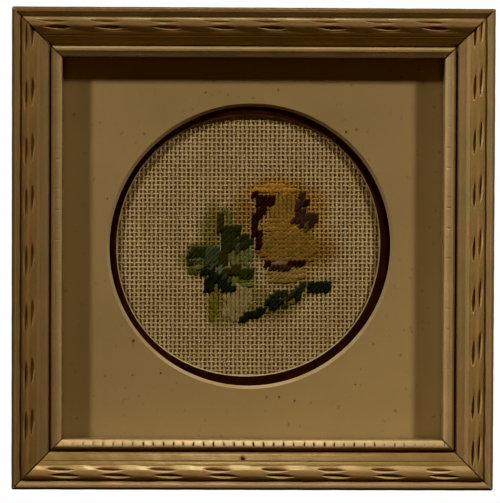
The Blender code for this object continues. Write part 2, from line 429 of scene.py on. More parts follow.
def notch_places(rail):
    """Where the cross cuts of a rail lie along it in millimetres, with their strength and lean."""
    random = np.random.default_rng(rail.seed)
    rows = []
    for step in range(-20, 20):
        even = NOTCH_FIRST + NOTCH_PITCH * step
        left = np.interp(even, list(NOTCH_LEFT_AT), list(NOTCH_LEFT_AT.values()))
        place = even + random.uniform(-0.18, 0.18)
        strength = left * max(0.0, random.uniform(rail.notch_least, 1.0))
        rows.append((place, strength, random.uniform(-0.12, 0.12)))
    return rows


def notch_cut(along, inward, rail):
    """Depth in millimetres of the cross cuts on the inner bead."""
    cut = np.zeros_like(along)
    reach = np.clip(1 - ((inward - NOTCH_INWARD) / NOTCH_REACH) ** 2, 0, 1)
    for place, strength, lean in notch_places(rail):
        across = np.abs(along - place - lean * (inward - NOTCH_INWARD)) / NOTCH_HALF_WIDTH
        cut = np.maximum(cut, strength * np.clip(NOTCH_STEEPNESS * (1 - across), 0, 1) * reach ** 0.5)
    return rail.notch_depth * cut


def dent_cut(along, inward):
    """Depth in millimetres of the one round dent in the cove."""
    reach = ((along - DENT_PLACE[0]) / DENT_RADII[0]) ** 2 + ((inward - DENT_PLACE[1]) / DENT_RADII[1]) ** 2
    return DENT_DEPTH * np.clip(1 - reach, 0, 1) ** 0.7


print(len(notch_places(RAILS[0])), "cross cuts to a rail,", NOTCH_PITCH, "mm apart")

# %% [markdown]
# Most pieces are worked out as arrays of points. Three small helpers turn such arrays into pieces: one
# keeps a number for each point, for the paint to read, one lays the points out flat, for the grain to
# follow, and one turns every face outwards and puts the piece in the scene.

# %% Small helpers that turn arrays into pieces


def store_values(mesh, name, values):
    """Keeps one number for each point of the mesh, for the material to read."""
    attribute = mesh.attributes.new(name, "FLOAT", "POINT")
    attribute.data.foreach_set("value", np.ascontiguousarray(values, np.float32).ravel())


def give_uv(mesh, places):
    """Gives each point a flat place in metres, as the mesh's UV map."""
    layer = mesh.uv_layers.new(name="flat")
    corners = np.zeros(len(mesh.loops), int)
    mesh.loops.foreach_get("vertex_index", corners)
    layer.data.foreach_set("uv", places[corners].astype(np.float32).ravel())


def finish_piece(name, mesh, sharp_degrees=None):
    """Turns every face outwards, shades the mesh and puts it in the scene."""
    bm = bmesh.new()
    bm.from_mesh(mesh)
    bmesh.ops.recalc_face_normals(bm, faces=bm.faces)
    bm.to_mesh(mesh)
    bm.free()
    if sharp_degrees is not None:
        mesh.shade_smooth()
        mesh.set_sharp_from_angle(angle=math.radians(sharp_degrees))
    piece = bpy.data.objects.new(name, mesh)
    bpy.context.scene.collection.objects.link(piece)
    return piece


print("helpers are ready")

# %% [markdown]
# A rail is a grid of points: one row for each point of the section and one column for each step along
# the rail. A section could also be swept along a path and then cut at the corners. In the grid the
# columns simply close up towards the inner edge, which makes the mitres. It is quick to build, keeps
# its lengthways lines straight, and gives every point a place along the rail for the grain to follow.
# The rail is built as the bottom one and then turned about the frame's middle.

# %% Rails as grids of points
STATIONS = 500
LAST_SHARE = 0.997
CUT_COLUMNS = (-0.5, -0.15, 0.15, 0.5)
MITRE_GAP = 0.12 * MM
CORNER_ROUND = 0.9 * MM
WAVE_HEIGHT, WAVE_LENGTH = 0.035, 23.0
NOTCH_WASH, DENT_WASH = 4.2, 2.0
# The rims' lift and paleness are a painted highlight, partly rubbed gold.
RIM_CLEAN, RIM_LIFT, RIM_PALE = 0.6, 0.65, 0.5
SEAM_WASH, SEAM_WIDTH = 0.85, 0.22


def section_normals():
    """Directions out of the section, one for each of its points."""
    ahead = np.roll(section_points, -1, axis=0)
    behind = np.roll(section_points, 1, axis=0)
    run = ahead - behind
    out = np.stack((-run[:, 1], run[:, 0]), axis=1)
    return out / np.linalg.norm(out, axis=1, keepdims=True)


def carve(along, inward, rail):
    """How far each point of the grid is cut back, the dark wash and painted shade in the cuts, and the
    painted highlight on worn rims.
    """
    rows = np.array(section_names)[:, None]
    random = np.random.default_rng(rail.seed)
    on_rope = np.isin(rows, ("rope", "rope foot", "rope slope"))
    gouged, line_wash_and_shade, worn_and_lit = np.zeros_like(along), np.zeros_like(along), np.zeros_like(along)
    for start in rail.pair_starts:
        boldness = random.uniform(0.85, 1.12)
        for gouge in GOUGES:
            place = along - start - random.uniform(-0.3, 0.3)
            depth, dark, lit_rim = gouge_cut(gouge, place, inward, boldness)
            gouged = np.maximum(gouged, np.where(on_rope, depth, 0))
            line_wash_and_shade = np.maximum(line_wash_and_shade, np.where(on_rope, dark * np.clip(4 * depth, 0, 1), 0))
            worn_and_lit = np.maximum(worn_and_lit, np.where(on_rope, rail.rub * lit_rim, 0))
    dipped = sum(dip_cut(dip, along, inward, np.array(rail.pair_starts)) for dip in DIPS)
    dipped = np.where(on_rope, dipped, 0)
    on_bead = np.isin(rows, ("inner bead", "bead wall", "bead slope"))
    notched = np.where(on_bead, notch_cut(along, inward, rail), 0)
    dented = np.where(np.isin(rows, ("cove", "ledge")), dent_cut(along, inward), 0)
    dented = dented if rail.turn == 0 else np.zeros_like(dented)
    wavy = WAVE_HEIGHT * (ripple(along + 0.8 * inward, WAVE_LENGTH, rail.seed) + 0.6)
    wavy = np.where(rows == "rabbet", 0, np.clip(wavy, 0, None))
    # The dark lines in the cuts are partly wash and partly painted shade, laid darker on some rails.
    line_wash_and_shade = rail.stain * line_wash_and_shade * (1 - RIM_CLEAN * worn_and_lit)
    wash = np.clip(line_wash_and_shade + NOTCH_WASH * notched + DENT_WASH * dented, 0, 1)
    return gouged + dipped + notched + dented + wavy, wash, worn_and_lit


def column_shares(rail):
    """Shares of the rail's length that have a column: even steps, and four more for each cross cut."""
    even = np.linspace(-1, 1, STATIONS + 1)
    reach = HALF / MM - NOTCH_INWARD
    cuts = [(place + side) / reach for place, _, _ in notch_places(rail) for side in CUT_COLUMNS]
    inside = [share for share in cuts if abs(share) < LAST_SHARE]
    return np.unique(np.concatenate((even, inside)).round(7))


MEMBER_STARTS = {
    "outer side": "outer", "rope foot": "rope", "ledge": "ledge", "cove": "cove", "cove foot": "groove",
    "bead wall": "wall", "inner bead": "bead",
}


def member_values(members):
    """The value of the member that each row of the section belongs to."""
    member, values = "outer", []
    for name in section_names:
        member = MEMBER_STARTS.get(name, member)
        values.append(getattr(members, member))
    return np.array(values)


def round_corners(along, moved_in):
    """Rounds the outer corners of the frame, where the ends of two rails meet."""
    limit = CORNER_ROUND / MM
    to_corner = HALF / MM - np.abs(along)
    near = (to_corner < limit) & (moved_in < limit)
    off_side, off_end = limit - moved_in, limit - to_corner
    reach = np.hypot(off_side, off_end)
    shrink = np.where(near & (reach > limit), limit / np.maximum(reach, 1e-6), 1.0)
    moved_in = np.where(near, limit - off_side * shrink, moved_in)
    along = np.where(near, np.sign(along) * (HALF / MM - (limit - off_end * shrink)), along)
    return along, moved_in


def join_grid(name, points, rows, columns, materials):
    """Joins a rail's points into a closed tube with a cap at each end. Its rabbet and ends are bare."""
    index = np.arange(rows * columns).reshape(rows, columns)
    below = np.roll(index, -1, axis=0)
    faces = np.stack((index[:, :-1], below[:, :-1], below[:, 1:], index[:, 1:]), axis=-1).reshape(-1, 4)
    caps = [index[:, 0].tolist(), index[::-1, -1].tolist()]
    mesh = bpy.data.meshes.new(name)
    mesh.from_pydata(points.tolist(), [], faces.tolist() + caps)
    for material in materials:
        mesh.materials.append(material)
    bare = np.repeat(np.array(section_names) == "rabbet", columns - 1)
    mesh.polygons.foreach_set("material_index", np.concatenate((bare.astype(int), [1, 1])))
    return mesh


def build_rail(rail, materials):
    """Works out the grid of one rail, turns it to its side and stores the values that its paint reads."""
    shares = column_shares(rail)[None, :]
    inward = section_points[:, :1] / MM
    ends = HALF / MM - inward - MITRE_GAP / MM
    along = shares * ends
    inward = np.broadcast_to(inward, along.shape)
    cut, caught_and_shaded, worn_and_lit = carve(along, inward, rail)
    normals = section_normals()
    moved_in = inward - cut * normals[:, :1]
    moved_up = section_points[:, 1:] / MM - cut * normals[:, 1:]
    along, moved_in = round_corners(along, moved_in)

    points = np.stack((along, -moved_up, moved_in - HALF / MM), axis=-1).reshape(-1, 3) * MM
    turn = Matrix.Rotation(math.radians(-rail.turn), 3, "Y")
    points = points @ np.array(turn).T + np.array(MIDDLE)
    mesh = join_grid(rail.name, points, *along.shape, materials)

    to_mitre = np.minimum(shares + 1, 1 - shares) * ends
    seam = SEAM_WASH * np.exp(-((to_mitre / SEAM_WIDTH) ** 2))
    # The tone paints in each member's light and shade, and a highlight on the rubbed rims.
    tone = (section_tone * member_values(rail.shades))[:, None] * (1 + RIM_LIFT * worn_and_lit)
    brown = np.broadcast_to(member_values(rail.browns)[:, None], along.shape)
    store_values(mesh, "wash", np.clip(section_wash[:, None] + caught_and_shaded + seam, 0, 1))
    store_values(mesh, "tone", tone)
    store_values(mesh, "brown", brown)
    store_values(mesh, "pale", np.clip(section_pale[:, None] + RIM_PALE * worn_and_lit, 0, 1))
    lengths = np.linalg.norm(np.diff(section_points, axis=0), axis=1)
    down_section = np.concatenate(([0], np.cumsum(lengths)))
    lay_out = np.stack((along * MM, np.broadcast_to(down_section[:, None], along.shape)), axis=-1)
    give_uv(mesh, lay_out.reshape(-1, 2))
    return finish_piece(rail.name, mesh, sharp_degrees=42)


print(len(column_shares(RAILS[0])), "columns in the grid of the bottom rail")

# %% [markdown]
# The finish is a dull antique gold: bronze paint that has gone olive in places and tan in others, with
# fine brush lines along the moulding. A painted image could show the same, but it would blur close up
# and stop at the mitres. Here the wash, shade, brown and pale values are read from the points, and
# noise breaks the wash up so that its edge isn't drawn with a ruler. The shade and brown also paint in
# the light and shade that fall on each rail, and part of the pale value is a highlight on the rims.

# %% Antique gold paint
PAINT_TAN = (1.0, 0.77, 0.49)
PAINT_OLIVE = (0.98, 0.84, 0.50)
PAINT_BROWN = (1.0, 0.73, 0.31)
PAINT_PALE = (1.0, 0.89, 0.66)
WASH_COLOUR = (0.075, 0.020, 0.008)
PAINT_STRENGTH = 1.10


def make_antique_gold():
    material, tree, shader, place = start_material("antique_gold", roughness=0.26, metallic=0.15)
    along = add_node(tree, "ShaderNodeUVMap", uv_map="flat").outputs[0]
    strokes = noise(tree, vector_maths(tree, "MULTIPLY", along, (55, 1400, 1)), 1.0, 3, 0.6)
    blotches = noise(tree, place, 75, 3, 0.55)
    grit = noise(tree, place, 1500, 2)

    paint = mix_colour(tree, stretch(tree, blotches, 0.40, 0.60), PAINT_OLIVE, PAINT_TAN)
    paint = mix_colour(tree, stored(tree, "brown"), paint, PAINT_BROWN)
    paint = mix_colour(tree, stored(tree, "pale"), paint, PAINT_PALE)
    shade = maths(tree, "MULTIPLY", stretch(tree, strokes, 0.25, 0.75, 0.93, 1.07), PAINT_STRENGTH)
    shade = maths(tree, "MULTIPLY", shade, stretch(tree, grit, 0.3, 0.7, 0.95, 1.05))
    shade = maths(tree, "MULTIPLY", shade, stretch(tree, blotches, 0.25, 0.75, 0.92, 1.08))
    paint = scaled(tree, paint, maths(tree, "MULTIPLY", shade, stored(tree, "tone")))

    ragged = maths(tree, "ADD", stored(tree, "wash"), stretch(tree, strokes, 0.2, 0.8, -0.14, 0.14))
    ragged = maths(tree, "MULTIPLY", stretch(tree, ragged, 0.18, 0.82), 0.94)
    fill(tree, shader.inputs["Base Color"], mix_colour(tree, ragged, paint, WASH_COLOUR))
    fill(tree, shader.inputs["Roughness"], stretch(tree, ragged, 0, 1, 0.26, 0.75))
    relief = maths(tree, "ADD", maths(tree, "MULTIPLY", strokes, 0.7), maths(tree, "MULTIPLY", grit, 0.3))
    add_bump(tree, shader, relief, 0.00012, 0.4)
    return material


antique_gold = make_antique_gold()
print(antique_gold.name, "in four colours, with a dark wash")

# %% [markdown]
# The back and the rabbet were never painted. They show plain sawn wood, with its grain along each rail,
# so the noise is stretched along the flat map: long streaks for the grain, and finer ones for pores.

# %% Bare wood at the back
WOOD_PALE = (0.46, 0.31, 0.17)
WOOD_DARK = (0.26, 0.15, 0.07)


def make_bare_wood():
    material, tree, shader, _ = start_material("bare_wood", roughness=0.75)
    along = add_node(tree, "ShaderNodeUVMap", uv_map="flat").outputs[0]
    grain = noise(tree, vector_maths(tree, "MULTIPLY", along, (22, 900, 1)), 1.0, 4, 0.6)
    pores = noise(tree, vector_maths(tree, "MULTIPLY", along, (160, 5200, 1)), 1.0, 2)
    tone = mix_colour(tree, stretch(tree, grain, 0.3, 0.72), WOOD_PALE, WOOD_DARK)
    tone = mix_colour(tree, stretch(tree, pores, 0.62, 0.8, 0, 0.5), tone, WOOD_DARK)
    fill(tree, shader.inputs["Base Color"], tone)
    add_bump(tree, shader, pores, 0.0001, 0.5)
    return material


bare_wood = make_bare_wood()
print(bare_wood.name, "for the rabbet and the back")

# %% [markdown]
# The four rails are the same moulding, so one loop over the table builds them. Each keeps its own
# carving, wear and colour, which is what tells a real frame from a copied corner, and its own painted
# light and shade.

# %% Four rails
rails = {rail.replaces: build_rail(rail, (antique_gold, bare_wood)) for rail in RAILS}
for piece in rails.values():
    print(piece.name, len(piece.data.polygons), "faces")

# %% [markdown]
# A window mat is a board with a round hole whose edge is cut at a slant, so that the cream core shows.
# A hole could be cut out of a box, which leaves long thin faces. Here both boards are a square outline
# joined to rings of points. The hand-held cutter wandered a little, so the rings' radius wavers by a
# few hundredths of a millimetre, and each window is slightly oval.

# %% Window mats
WINDOW_STEPS = 288
Window = namedtuple("Window", "centre back_radius bevel oval seed")
OUTER_WINDOW = Window((-1.2 * MM, 0.9 * MM), 59.8 * MM, 1.2 * MM, (0.2 * MM, 0.35 * MM, 0.0), 1.0)
INNER_WINDOW = Window((-1.9 * MM, 1.2 * MM), 56.2 * MM, 0.4 * MM, (0.2 * MM, 0.4 * MM, -0.4 * MM), 2.0)
EDGE_EASE = 0.12 * MM
PAPER_RING = 3 * MM
CUTTER_WANDER = 0.05 * MM


def ring_points(window, grown, height):
    """A ring of points on the window's edge, grown by so much and at one height above the wall."""
    angles = np.linspace(0, 2 * np.pi, WINDOW_STEPS, endpoint=False)
    wander = sum(
        math.cos(window.seed + order) * np.sin(order * angles + window.seed * order) / order
        for order in (2, 3, 5, 7)
    )
    bulge = window.oval[0] * np.cos(2 * angles) + window.oval[1] * np.sin(2 * angles)
    bulge = bulge + window.oval[2] * np.cos(4 * angles)
    reach = window.back_radius + grown + CUTTER_WANDER * wander + bulge
    x = MIDDLE.x + window.centre[0] + reach * np.cos(angles)
    z = MIDDLE.z + window.centre[1] + reach * np.sin(angles)
    return np.stack((x, np.full_like(x, -height), z), axis=1)


def square_points(half_side, height):
    angles = np.linspace(0, 2 * np.pi, WINDOW_STEPS, endpoint=False)
    reach = half_side / np.maximum(np.abs(np.cos(angles)), np.abs(np.sin(angles)))
    x, z = MIDDLE.x + reach * np.cos(angles), MIDDLE.z + reach * np.sin(angles)
    return np.stack((x, np.full_like(x, -height), z), axis=1)


def build_mat(name, front, back, window, materials):
    """A board with a slanted round window. Its slanted faces wear the second material."""
    bevel = window.bevel
    ease = min(EDGE_EASE, bevel / 3)
    half = MAT_SIDE / 2
    loops = [
        square_points(half, back),
        square_points(half, front - EDGE_EASE),
        square_points(half - EDGE_EASE, front),
        ring_points(window, bevel + PAPER_RING, front),
        ring_points(window, bevel + ease, front),
        ring_points(window, bevel, front - ease * (front - back) / max(bevel, ease)),
        ring_points(window, 0, back + EDGE_EASE / 2),
        ring_points(window, EDGE_EASE / 2, back),
    ]
    steps, count = WINDOW_STEPS, len(loops)
    index = np.arange(count * steps).reshape(count, steps)
    after, ahead = np.roll(index, -1, axis=0), np.roll(index, -1, axis=1)
    beyond = np.roll(after, -1, axis=1)
    faces = np.stack((index, after, beyond, ahead), axis=-1).reshape(-1, 4)
    mesh = bpy.data.meshes.new(name)
    mesh.from_pydata(np.concatenate(loops).tolist(), [], faces.tolist())
    for material in materials:
        mesh.materials.append(material)
    slanted = np.isin(np.repeat(np.arange(count), steps), (4, 5, 6)).astype(int)
    mesh.polygons.foreach_set("material_index", slanted)
    return finish_piece(name, mesh, sharp_degrees=25)


print("a mat has", WINDOW_STEPS, "steps round its window")

# %% [markdown]
# The tan mat is coloured paper on board. Paper like this is never quite even: it has a fine tooth,
# some faint clouds, a few brown flecks and dark specks of dirt. It is also painted a little brighter
# towards the lower right, where more light fell. The specks have fixed places, measured in millimetres
# from the middle of the frame, and the material darkens round each one by its distance from it.

# %% Mat papers and board core
MAT_TAN = (0.375, 0.306, 0.178)
MAT_CLOUD = (0.352, 0.290, 0.169)
MAT_LIGHT_FALLOFF = (0.98, 1.16)
CORE_CREAM = (0.465, 0.405, 0.275)
MAROON_BLACK = (0.058, 0.029, 0.025)
MAROON_DUST = (0.076, 0.038, 0.032)
SPECK_COLOUR = (0.06, 0.03, 0.012)
SPECK_RAGGED = 0.6 * MM
Speck = namedtuple("Speck", "across up radius")
SPECKS = (
    Speck(39.6, 49.8, 0.55), Speck(-50.9, -39.6, 0.7), Speck(-39.1, -53.4, 0.5), Speck(11.4, -63.5, 0.5),
    Speck(18.1, -65.1, 0.45), Speck(-62.0, 21.0, 0.35), Speck(57.5, -14.0, 0.4), Speck(-20.5, 66.5, 0.35),
    Speck(44.0, -58.0, 0.3),
)


def make_mat_paper():
    material, tree, shader, place = start_material("tan_mat_paper", roughness=0.82, specular=0.3)
    clouds = noise(tree, place, 22, 4, 0.6)
    tooth = noise(tree, place, 2600, 2, 0.6)
    flecks = noise(tree, place, 420, 1)
    tone = mix_colour(tree, stretch(tree, clouds, 0.35, 0.65), MAT_TAN, MAT_CLOUD)
    tone = mix_colour(tree, stretch(tree, flecks, 0.70, 0.80, 0, 0.35), tone, SPECK_COLOUR)
    tone = mix_colour(tree, stretch(tree, tooth, 0.3, 0.7, 0, 0.10), tone, CORE_CREAM)
    # Painted light: the paper is made brighter towards the lower right, where more light fell.
    x, _, z = parts_of(tree, place)
    lit_share = maths(tree, "MULTIPLY_ADD", x, -0.5, z)
    lit_share = stretch(tree, lit_share, MIDDLE.z, MIDDLE.z - MAT_SIDE / 2, *MAT_LIGHT_FALLOFF)
    tone = scaled(tree, tone, lit_share)
    ragged = scaled(tree, noise(tree, place, 900.0, output=1), SPECK_RAGGED)
    ragged = vector_maths(tree, "ADD", place, ragged)
    half_way = Vector((1, 1, 1)) * SPECK_RAGGED / 2
    for speck in SPECKS:
        centre = MIDDLE + Vector((speck.across * MM, -OUTER_MAT_FRONT, speck.up * MM))
        apart = vector_maths(tree, "DISTANCE", ragged, tuple(centre + half_way))
        mark = stretch(tree, apart, speck.radius * MM * 0.5, speck.radius * MM * 1.3, 0.85, 0.0)
        tone = mix_colour(tree, mark, tone, SPECK_COLOUR)
    fill(tree, shader.inputs["Base Color"], tone)
    add_bump(tree, shader, tooth, 0.00008, 0.5)
    return material


def make_board_core():
    material, tree, shader, place = start_material("board_core", roughness=0.8, specular=0.25)
    fibres = noise(tree, place, 900, 3, 0.6)
    dust = noise(tree, place, 60, 2)
    tone = mix_colour(tree, stretch(tree, dust, 0.4, 0.7, 0, 0.5), CORE_CREAM, MAT_TAN)
    fill(tree, shader.inputs["Base Color"], tone)
    add_bump(tree, shader, fibres, 0.0001, 0.5)
    return material


def make_dark_paper():
    material, tree, shader, place = start_material("dark_mat_paper", roughness=0.8, specular=0.08)
    tooth = noise(tree, place, 2200, 2)
    clouds = noise(tree, place, 120, 2)
    tone = mix_colour(tree, stretch(tree, clouds, 0.35, 0.7), MAROON_BLACK, MAROON_DUST)
    fill(tree, shader.inputs["Base Color"], tone)
    add_bump(tree, shader, tooth, 0.00008, 0.5)
    return material


mat_paper = make_mat_paper()
board_core = make_board_core()
dark_paper = make_dark_paper()
window_mat = build_mat("window_mat", OUTER_MAT_FRONT, OUTER_MAT_BACK, OUTER_WINDOW, (mat_paper, board_core))
dark_mat = build_mat("dark_mat", INNER_MAT_FRONT, INNER_MAT_BACK, INNER_WINDOW, (dark_paper, board_core))
openings = [round(2 * window.back_radius / MM, 1) for window in (OUTER_WINDOW, INNER_WINDOW)]
print(window_mat.name, "and", dark_mat.name, "have windows", openings, "mm across")

# %% [markdown]
# The board behind the canvas is plain brown chipboard. Its solid has the right shape, so it stays, and
# only gets a material with the flecks that pressed board has.

# %% Mount board
BOARD_BROWN = (0.64, 0.49, 0.26)
BOARD_FLECK = (0.50, 0.37, 0.18)


def make_chipboard():
    material, tree, shader, place = start_material("brown_chipboard", roughness=0.9, specular=0.2)
    pulp = noise(tree, vector_maths(tree, "MULTIPLY", place, (1, 1, 0.6)), 350, 4, 0.65)
    chips = noise(tree, place, 1100, 1)
    tone = mix_colour(tree, stretch(tree, pulp, 0.35, 0.7), BOARD_BROWN, BOARD_FLECK)
    tone = mix_colour(tree, stretch(tree, chips, 0.66, 0.76, 0, 0.6), tone, MAT_TAN)
    fill(tree, shader.inputs["Base Color"], tone)
    add_bump(tree, shader, pulp, 0.0001, 0.5)
    return material


mount_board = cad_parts["mount_board"]
mount_board.data.materials.clear()
mount_board.data.materials.append(make_chipboard())
print(mount_board.name, "keeps its solid, in", mount_board.data.materials[0].name)

# %% [markdown]
# Canvas and stitches are hundreds of like parts, which is what Geometry Nodes are for. A tree is a
# recipe with named inputs. One helper starts a tree, one adds a node to it and one runs it. Running it
# gives the tree to an object as a modifier, sets the inputs, keeps the finished mesh as plain geometry
# and takes the modifier off again, so that nothing is left to work out when the piece is exported.

# %% Geometry Nodes helpers
FLOAT, WHOLE = "NodeSocketFloat", "NodeSocketInt"
VECTOR, MATERIAL = "NodeSocketVector", "NodeSocketMaterial"
Input = namedtuple("Input", "label kind value")


def new_tree(name, inputs):
    """A Geometry Nodes tree with named inputs."""
    tree = bpy.data.node_groups.new(name, "GeometryNodeTree")
    tree.interface.new_socket("Geometry", in_out="INPUT", socket_type="NodeSocketGeometry")
    tree.interface.new_socket("Geometry", in_out="OUTPUT", socket_type="NodeSocketGeometry")
    for ask in inputs:
        tree.interface.new_socket(ask.label, in_out="INPUT", socket_type=ask.kind)
    return tree


def run_tree(name, tree, inputs, start_mesh):
    """Runs the tree on a start mesh, with its inputs set by their identifiers, and keeps the result."""
    start = bpy.data.objects.new(name, start_mesh)
    bpy.context.scene.collection.objects.link(start)
    modifier = start.modifiers.new("shape", "NODES")
    modifier.node_group = tree
    identifiers = {
        item.name: item.identifier for item in tree.interface.items_tree if item.in_out == "INPUT"
    }
    for ask in inputs:
        modifier[identifiers[ask.label]] = ask.value
    bpy.context.view_layer.update()
    depsgraph = bpy.context.evaluated_depsgraph_get()
    made = bpy.data.meshes.new_from_object(start.evaluated_get(depsgraph))
    start.modifiers.remove(modifier)
    start.data = made
    made.name = name
    return start


def geo(tree, kind, inputs=None, **settings):
    """Adds one node and gives its first output, which is all that most steps of a tree need."""
    return add_node(tree, kind, inputs, **settings).outputs[0]


print("helpers for Geometry Nodes are ready")

# %% [markdown]
# Needlepoint canvas is a stiff open mesh: two sets of threads that pass over and under each other at
# every crossing. It could be one flat sheet with a woven picture on it, but the holes are big enough
# to see through, so each thread is real here. The tree makes one thread, repeats it, bends it up and
# down at the crossings, sweeps a flattened section along it, and does the same for the second set. Its
# inputs are the sizes that a weaver would name.

# %% Canvas tree
THREADS = 84
PITCH = CANVAS_SIDE / THREADS
CANVAS_MIDDLE = MIDDLE + Vector((0, (canvas_low.y + canvas_high.y) / 2, 0))


def random_value(tree, low, high, seed):
    """A random number for each point, from the float sockets of the Random Value node."""
    made = add_node(tree, "FunctionNodeRandomValue", data_type="FLOAT")
    for socket, value in ((made.inputs[2], low), (made.inputs[3], high), (made.inputs["Seed"], seed)):
        fill(tree, socket, value)
    return made.outputs[1]


def count_from_middle(tree, place, ask):
    """Which thread a place belongs to, counted from the first."""
    halfway = maths(tree, "MULTIPLY", maths(tree, "SUBTRACT", ask["Threads"], 1.0), 0.5)
    return maths(tree, "ROUND", maths(tree, "ADD", maths(tree, "DIVIDE", place, ask["Pitch"]), halfway))


def straight_threads(tree, ask, upright, seed):
    """Straight threads side by side, each a little off its place and with its own tint."""
    span = maths(tree, "MULTIPLY", ask["Pitch"], maths(tree, "SUBTRACT", ask["Threads"], 1.0))
    edge = maths(tree, "MULTIPLY", span, -0.5)
    far = maths(tree, "MULTIPLY", span, 0.5)
    aside, along = ("x", "y") if upright else ("y", "x")
    # The upright threads take the paler tints, a painted highlight for the light they catch.
    tints_upright_lit = (0.0, 0.5) if upright else (0.5, 1.0)
    places = geo(tree, "GeometryNodeMeshLine", {
        "Count": ask["Threads"],
        "Start Location": combine(tree, **{aside: edge}),
        "Offset": combine(tree, **{aside: ask["Pitch"]}),
    }, mode="OFFSET")
    shift = maths(tree, "MULTIPLY", random_value(tree, -1.0, 1.0, seed), ask["Unevenness"])
    places = geo(tree, "GeometryNodeSetPosition", {
        "Geometry": places, "Offset": combine(tree, **{aside: shift})})
    places = geo(tree, "GeometryNodeStoreNamedAttribute", {
        "Geometry": places, "Name": "tint", "Value": random_value(tree, *tints_upright_lit, seed + 1),
    }, data_type="FLOAT", domain="POINT")
    line_of = geo(tree, "GeometryNodeCurvePrimitiveLine", {
        "Start": combine(tree, **{along: edge}), "End": combine(tree, **{along: far})})
    line_of = geo(tree, "GeometryNodeResampleCurve", {"Curve": line_of, "Count": ask["Threads"]})
    many = geo(tree, "GeometryNodeInstanceOnPoints", {"Points": places, "Instance": line_of})
    return geo(tree, "GeometryNodeRealizeInstances", {"Geometry": many})


def thread_set(tree, ask, upright, seed):
    """One of the two sets of threads, lying in the XY plane with the viewer above it."""
    many = straight_threads(tree, ask, upright, seed)
    place = geo(tree, "GeometryNodeInputPosition")
    x, y, _ = parts_of(tree, place)
    crossing = maths(tree, "ADD", count_from_middle(tree, x, ask), count_from_middle(tree, y, ask))
    odd = maths(tree, "FLOORED_MODULO", crossing, 2.0)
    side = maths(tree, "MULTIPLY_ADD", odd, -2.0 if upright else 2.0, 1.0 if upright else -1.0)
    bend = maths(tree, "MULTIPLY", side, ask["Crimp"])
    lift = maths(tree, "ADD", bend, ask["Lift"]) if upright else bend
    wander = vector_maths(tree, "SUBTRACT", noise(tree, place, 260.0, 1.0, output=1), (0.5, 0.5, 0.5))
    wander = scaled(tree, wander, maths(tree, "MULTIPLY", ask["Unevenness"], 3.0))
    offset = vector_maths(tree, "ADD", combine(tree, z=lift), wander)
    many = geo(tree, "GeometryNodeSetPosition", {"Geometry": many, "Offset": offset})
    many = geo(tree, "GeometryNodeSetCurveNormal", {"Curve": many}, mode="Z_UP")
    plump = noise(tree, place, 170.0, 1.0)
    many = geo(tree, "GeometryNodeSetCurveRadius", {
        "Curve": many, "Radius": stretch(tree, plump, 0.3, 0.7, 0.86, 1.14)})
    round_section = geo(tree, "GeometryNodeCurvePrimitiveCircle", {"Resolution": 6, "Radius": 0.5})
    width = ask["Upright Width"] if upright else ask["Across Width"]
    flat_section = geo(tree, "GeometryNodeTransform", {
        "Geometry": round_section, "Scale": combine(tree, width, ask["Thickness"], 1.0)})
    inputs = {"Curve": many, "Profile Curve": flat_section, "Fill Caps": True}
    return geo(tree, "GeometryNodeCurveToMesh", inputs)


def finish_tree(tree, geometry, ask):
    """Stands the flat work up at its place, makes every copy real and gives it its material."""
    stood_up = geo(tree, "GeometryNodeTransform", {
        "Geometry": geometry, "Rotation": (math.pi / 2, 0, 0), "Translation": ask["Middle"]})
    smooth = geo(tree, "GeometryNodeSetShadeSmooth", {"Geometry": stood_up})
    real = geo(tree, "GeometryNodeRealizeInstances", {"Geometry": smooth})
    dressed = geo(tree, "GeometryNodeSetMaterial", {"Geometry": real, "Material": ask["Material"]})
    outlet = tree.nodes.new("NodeGroupOutput")
    tree.links.new(dressed, outlet.inputs[0])
    return tree


def make_canvas_tree(inputs):
    tree = new_tree("woven_canvas", inputs)
    ask = tree.nodes.new("NodeGroupInput").outputs
    both = tree.nodes.new("GeometryNodeJoinGeometry")
    for upright, seed in ((True, 5), (False, 9)):
        tree.links.new(thread_set(tree, ask, upright, seed), both.inputs[0])
    return finish_tree(tree, both.outputs[0], ask)


print(THREADS, "threads each way,", round(PITCH / MM, 3), "mm apart")

# %% [markdown]
# The threads are sized cotton, cream gone tan with age. Each thread has its own tint, stored by the
# tree; the upright threads take the paler half, a painted highlight for the light they catch. The whole
# cloth is a little darker in clouds where it has been handled. The picture was first printed on the
# canvas in soft colours, so the material also mixes in a colour that is stored on the threads, as
# strongly as its alpha says.

# %% Canvas cotton
THREAD_PALE = (0.525, 0.462, 0.316)
THREAD_DARK = (0.38, 0.326, 0.204)


def make_canvas_cotton():
    material, tree, shader, place = start_material("canvas_cotton", roughness=0.85, specular=0.2)
    clouds = noise(tree, place, 45, 3, 0.6)
    slubs = noise(tree, place, 700, 2)
    blend = maths(tree, "MULTIPLY", stored(tree, "tint"), 0.6)
    blend = maths(tree, "ADD", blend, stretch(tree, clouds, 0.35, 0.7, 0, 0.4))
    blend = maths(tree, "ADD", blend, stretch(tree, slubs, 0.35, 0.7, 0, 0.25), clamp=True)
    cotton = mix_colour(tree, blend, THREAD_PALE, THREAD_DARK)
    ink = scaled(tree, stored(tree, "print", "Color"), stretch(tree, slubs, 0.3, 0.7, 0.85, 1.15))
    fill(tree, shader.inputs["Base Color"], mix_colour(tree, stored(tree, "print", "Alpha"), cotton, ink))
    add_bump(tree, shader, noise(tree, place, 3500, 2), 0.00006, 0.6)
    return material


canvas_cotton = make_canvas_cotton()
print(canvas_cotton.name, "from", THREAD_PALE, "to", THREAD_DARK)

# %% [markdown]
# The threads are a little wider than the holes between them, and flat, because sized canvas is pressed.
# Their crimp is slight. The upright ones lie a little nearer to the viewer, because they look a little
# brighter in the photograph. The cloth fills its solid, so the count of threads over its side gives the
# pitch.

